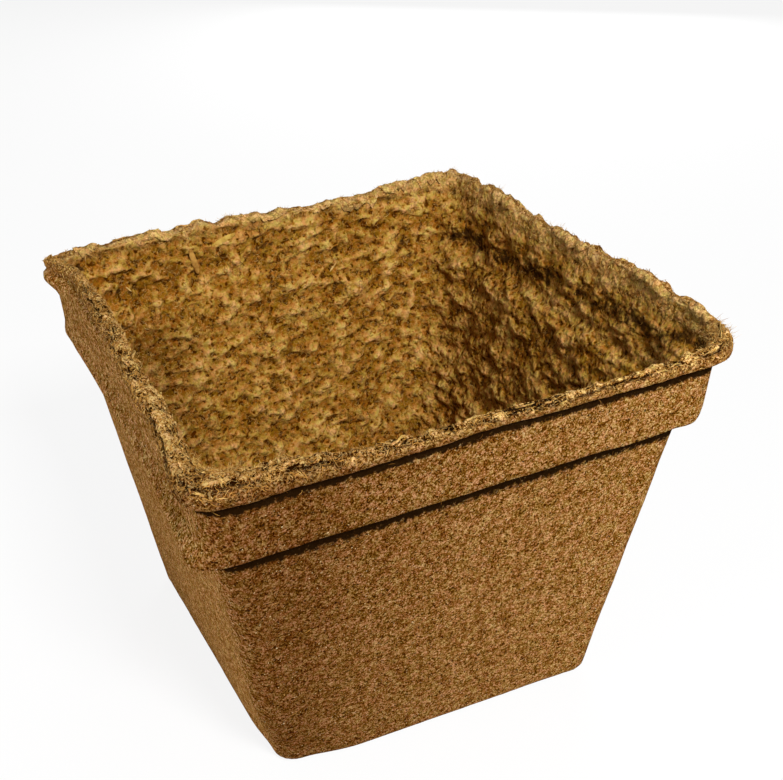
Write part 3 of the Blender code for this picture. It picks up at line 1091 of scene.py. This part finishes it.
FIBRE = pressed_fibre()
for piece in (pot, lip):
    piece.data.materials.clear()
    piece.data.materials.append(FIBRE)
GOLD = straw_colour("gold_straw", (0.23, 0.093, 0.015, 1), (0.54, 0.285, 0.064, 1))
PALE = straw_colour("pale_straw", (0.44, 0.25, 0.070, 1), (0.72, 0.48, 0.165, 1))
YELLOW = straw_colour("yellow_husk", (0.42, 0.235, 0.040, 1), (0.64, 0.430, 0.095, 1))
BROWN = straw_colour("brown_straw", (0.080, 0.027, 0.004, 1), (0.21, 0.085, 0.016, 1))

# How often each colour of straw comes in each place
LIP_COLOURS = [GOLD, GOLD, GOLD, GOLD, PALE, BROWN]
FELT_COLOURS = [GOLD, GOLD, GOLD, PALE, BROWN]
FUZZ_COLOURS = [GOLD, PALE]
TUFT_COLOURS = [PALE, PALE, GOLD]
SKIN_COLOURS = [GOLD, BROWN, BROWN, BROWN]

# Where pale tufts stand on the lip, and how far each spreads
TUFTS = [
    (0.0752, 0.0122, 0.0012), (0.0752, 0.0075, 0.0012), (0.0752, 0.0427, 0.0012),
    (-0.0130, 0.0745, 0.0012), (0.0745, -0.0700, 0.0030), (-0.0735, -0.0560, 0.0016),
    (-0.0690, -0.0715, 0.0020),
]
# Where the plates begin and end along the far rim, and how far they hang down
PLATES = [
    ((0.0158, 0.0740, 0.1223), (0.0270, 0.0740, 0.1218), 0.0016),
    ((0.0262, 0.0740, 0.1241), (0.0443, 0.0740, 0.1236), 0.0042),
    ((0.0443, 0.0740, 0.1258), (0.0562, 0.0740, 0.1260), 0.0028),
    ((0.0587, 0.0740, 0.1275), (0.0710, 0.0740, 0.1267), 0.0034),
    ((0.0745, 0.0439, 0.1280), (0.0745, 0.0304, 0.1306), 0.0040),
    ((0.0745, 0.0100, 0.1290), (0.0745, -0.0120, 0.1300), 0.0024),
    ((0.0745, -0.0311, 0.1304), (0.0745, -0.0491, 0.1306), 0.0026),
    ((0.0745, -0.0570, 0.1295), (0.0745, -0.0680, 0.1289), 0.0020),
    ((-0.0670, 0.0740, 0.1245), (-0.0590, 0.0740, 0.1250), 0.0018),
    ((-0.0480, 0.0740, 0.1240), (-0.0330, 0.0740, 0.1238), 0.0022),
    ((-0.0080, 0.0740, 0.1225), (0.0090, 0.0740, 0.1222), 0.0020),
]
# Where each husk lies, its half length, thickness and width, its slant and its colour
HUSKS = [
    ((-0.0515, 0.0690, 0.1078), (0.0014, 0.0002, 0.0003), math.radians(50), PALE),
    ((-0.0171, 0.0690, 0.1195), (0.0046, 0.0003, 0.0012), math.radians(-19), YELLOW),
    ((-0.0270, 0.0690, 0.1126), (0.0052, 0.0003, 0.0011), math.radians(77), GOLD),
    ((0.0440, 0.0720, 0.1225), (0.0040, 0.0003, 0.0009), math.radians(-4), YELLOW),
    ((0.0230, 0.0670, 0.1010), (0.0022, 0.0002, 0.0004), math.radians(-50), PALE),
]


# Where the loose fibre lies: how much of it comes on each triangle, by its middle and its facing


def on_lip(middle, facing):
    seen = ramp(np.minimum(middle[:, 0], middle[:, 1]), -0.060, -0.070)
    upward = ramp(facing[:, 2], -0.5, 0.5)
    return ramp(middle[:, 2], 0.1195, 0.1225) * upward * (0.45 + 0.55 * seen)


def on_rim_edge(middle, facing):
    return ramp(middle[:, 2], 0.1225, 0.1240) * ramp(facing[:, 2], 0.3, 0.8)


def on_far_rim(middle, facing):
    far = ramp(np.maximum(middle[:, 0], middle[:, 1]), 0.066, 0.072)
    return far * on_rim_edge(middle, facing)


def on_near_lip(middle, facing):
    near = ramp(np.minimum(middle[:, 0], middle[:, 1]), -0.066, -0.072)
    return near * ramp(middle[:, 2], 0.1195, 0.1215) * ramp(facing[:, 2], 0.2, 0.8)


def on_tufts(middle, facing):
    weight = 0
    for x, y, spread in TUFTS:
        away = (middle[:, 0] - x) ** 2 + (middle[:, 1] - y) ** 2
        weight = weight + np.exp(-away / spread ** 2)
    return weight * ramp(facing[:, 2], 0.0, 0.6) * (middle[:, 2] > 0.118)


def on_inner_wall(middle, facing):
    inward = -(facing[:, :2] * middle[:, :2]).sum(axis=1)
    above_floor = ramp(middle[:, 2], 0.004, 0.012)
    return (inward > 0) * above_floor * (0.4 + 0.6 * ramp(middle[:, 2], 0.02, 0.07))


def on_outer_wall(middle, facing):
    outward = (facing[:, :2] * middle[:, :2]).sum(axis=1)
    return (outward > 0) * (middle[:, 2] < 0.122)


WALL_SURFACE = Surface(pot)
LIP_SURFACE = Surface(lip)
pieces = [
    pot,
    lip,
    fibres(
        "lip_straws", LIP_SURFACE, on_lip, LIP_COLOURS,
        seed=11, count=5200, length=(0.0006, 0.0032), thick=(0.05, 0.13), lift=0.0008, along=0.35,
    ),
    fibres(
        "rim_fuzz", LIP_SURFACE, on_rim_edge, FUZZ_COLOURS,
        seed=15, count=2600, length=(0.0005, 0.0018), thick=(0.03, 0.07), lift=0.0014, along=0.1,
    ),
    shreds(
        "far_shreds", on_far_rim,
        seed=16, count=44, length=(0.0030, 0.0100), height=(0.0003, 0.0011), lean=0.4,
    ),
    shreds(
        "near_shreds", on_near_lip,
        seed=17, count=60, length=(0.0015, 0.0060), height=(0.0003, 0.0010), lean=1.0,
    ),
    fibres(
        "tufts", LIP_SURFACE, on_tufts, TUFT_COLOURS,
        seed=18, count=420, length=(0.0010, 0.0030), thick=(0.03, 0.06), lift=0.0030, along=0.0,
    ),
    plates("rim_plates", seed=19),
    husks("husks"),
    fibres(
        "inner_straws", WALL_SURFACE, on_inner_wall, FELT_COLOURS,
        seed=12, count=2200, length=(0.0008, 0.0032), thick=(0.06, 0.11), lift=0.0004, along=0.2,
    ),
    fibres(
        "outer_straws", WALL_SURFACE, on_outer_wall, SKIN_COLOURS,
        seed=13, count=2600, length=(0.0006, 0.0022), thick=(0.04, 0.08), lift=0.0, along=0.2,
    ),
]
for piece in pieces:
    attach(piece, "root")
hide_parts("pot_shell")


# Floor, light and camera

FLOOR_DROP = 0.0002  # keeps the floor clear of the foot
PAPER = (0.86, 0.86, 0.86, 1)
FLOOR_GLOW = 0.87  # how much of the floor is plain white to the camera; the rest keeps the shadow
WHITE = (1, 1, 1, 1)
ROOM_LIGHT = 0.25
LAMP_AIM = Vector((0, 0, 0.08))

# Camera: angles, what it is aimed at, how far it stands, and its lens and shift in picture points
YAW = math.radians(-26.91)
PITCH = math.radians(31.11)
ROLL = math.radians(-0.56)
AIM = Vector((0, 0, 0.070))
AIM_RIGHT = 0.00098
AIM_UP = 0.0101
DISTANCE = 0.3696
PICTURE_WIDTH = 783
LENS_POINTS = 1154.5
SHIFT_POINTS = 25
SENSOR = 36


def white_paper():
    """Pale paper that looks white to the camera and still takes a shadow."""
    paper = bpy.data.materials.new("white_paper")
    paper.use_nodes = True
    tree = paper.node_tree
    shader = tree.nodes["Principled BSDF"]
    shader.inputs["Base Color"].default_value = PAPER
    shader.inputs["Roughness"].default_value = 0.9
    glow = add(tree, "ShaderNodeEmission", {"Color": WHITE}).outputs[0]
    seen = add(tree, "ShaderNodeLightPath").outputs["Is Camera Ray"]
    share = maths(tree, "MULTIPLY", seen, FLOOR_GLOW)
    blend = add(tree, "ShaderNodeMixShader", {0: share, 1: shader.outputs[0], 2: glow})
    plug(tree, blend.outputs[0], tree.nodes["Material Output"].inputs["Surface"])
    return paper


def studio():
    deselect()
    bpy.ops.mesh.primitive_plane_add(size=6, location=(0, 0, -FLOOR_DROP))
    floor = bpy.context.object
    floor.name = "floor"
    floor.data.materials.append(white_paper())

    world = bpy.data.worlds.new("studio")
    world.use_nodes = True
    tree = world.node_tree
    back = tree.nodes["Background"]
    back.inputs["Color"].default_value = WHITE
    seen = add(tree, "ShaderNodeLightPath").outputs["Is Camera Ray"]
    plug(tree, stretch(tree, seen, 0.0, 1.0, ROOM_LIGHT, 1.0), back.inputs["Strength"])
    bpy.context.scene.world = world

    lamp("key", place=(-0.02, -0.68, 0.74), size=0.20, power=10.3)
    lamp("left_card", place=(-0.70, -0.10, 0.05), size=0.35, power=3.0)
    lamp("back_card", place=(0.55, 0.75, 0.30), size=0.50, power=4.0)


def lamp(name, place, size, power):
    data = bpy.data.lights.new(name, "AREA")
    data.size = size
    data.energy = power
    light = bpy.data.objects.new(name, data)
    turn = (LAMP_AIM - Vector(place)).to_track_quat("-Z", "Y")
    light.matrix_world = Matrix.Translation(place) @ turn.to_matrix().to_4x4()
    bpy.context.scene.collection.objects.link(light)


def camera():
    level_back = math.cos(PITCH)
    back = Vector((math.sin(YAW) * level_back, -math.cos(YAW) * level_back, math.sin(PITCH)))
    level = (-back).cross(Vector((0, 0, 1))).normalized()
    upward = level.cross(-back)
    right = level * math.cos(ROLL) + upward * math.sin(ROLL)
    up = upward * math.cos(ROLL) - level * math.sin(ROLL)
    place = AIM + right * AIM_RIGHT + up * AIM_UP + back * DISTANCE
    data = bpy.data.cameras.new("camera")
    data.sensor_width = SENSOR
    data.lens = LENS_POINTS * SENSOR / PICTURE_WIDTH
    data.shift_x = SHIFT_POINTS / PICTURE_WIDTH
    data.shift_y = SHIFT_POINTS / PICTURE_WIDTH
    data.clip_start = 0.01
    seen = bpy.data.objects.new("camera", data)
    seen.matrix_world = Matrix.Translation(place) @ Matrix((right, up, back)).transposed().to_4x4()
    bpy.context.scene.collection.objects.link(seen)
    bpy.context.scene.camera = seen


studio()
camera()
bpy.context.scene.view_settings.view_transform = "Standard"
